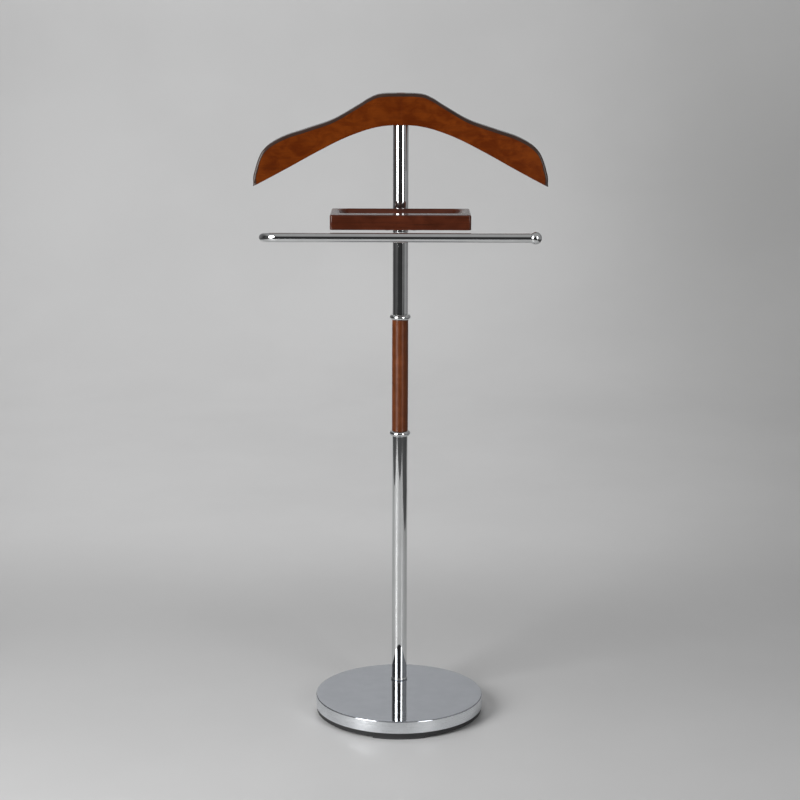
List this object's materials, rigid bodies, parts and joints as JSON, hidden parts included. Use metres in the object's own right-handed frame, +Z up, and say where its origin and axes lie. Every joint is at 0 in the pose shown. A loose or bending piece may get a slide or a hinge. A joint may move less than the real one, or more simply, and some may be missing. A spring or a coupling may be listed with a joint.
{
  "type": "valet stand",
  "caption": "Free-standing valet stand: weighted round chrome foot, chrome pole with wooden grip, swivelling trouser bar, dished wooden tray and contoured coat hanger.",
  "frame": {"origin": "middle of the round foot, on the floor", "axes": "+Z up; the front, with the tray and the front leg of the trouser bar, faces -Y; +X to the right seen from the front"},
  "size_m": [0.4694, 0.275, 1.0117],
  "materials": {
    "chrome": "polished",
    "steel": "zinc plated",
    "black_steel": "satin black paint",
    "cast_iron": "rough cast",
    "black_plastic": "moulded",
    "nylon": "moulded",
    "rubber": "matt",
    "brown_wood": "stained and lacquered",
    "amber_wood": "stained and lacquered",
    "pale_wood": "raw"
  },
  "bodies": {
    "stand": {"base_cover": "chrome", "base_weight": "cast_iron", "base_pan": "black_plastic", "base_pads": "rubber", "pan_screws": "steel", "base_washer": "steel", "base_bolt": "steel", "foot_ring": "chrome", "foot_plug": "steel", "lower_pole": "chrome", "lower_plug": "steel", "inner_post": "steel", "lower_collar": "chrome", "grip_sleeve": "brown_wood", "upper_collar": "chrome", "swivel_ring": "chrome", "upper_plug": "steel", "top_pole": "chrome", "top_plug": "steel", "tray_bracket": "black_steel", "tray_screws": "steel", "tray": "brown_wood", "hanger_left": "amber_wood", "hanger_right": "amber_wood", "hanger_dowels": "pale_wood", "hanger_washer": "steel", "hanger_bolt": "steel"},
    "trouser_bar": {"middle_pole": "chrome", "lower_bush": "nylon", "upper_bush": "nylon", "trouser_bar": "chrome", "bar_ball": "chrome"}
  },
  "joints": [
    {"name": "bar_swivel", "type": "hinge", "parent": "stand", "child": "trouser_bar", "pos_m": [0, 0.065, 0.7228], "axis": [0, 0, 1], "continuous": true}
  ]
}
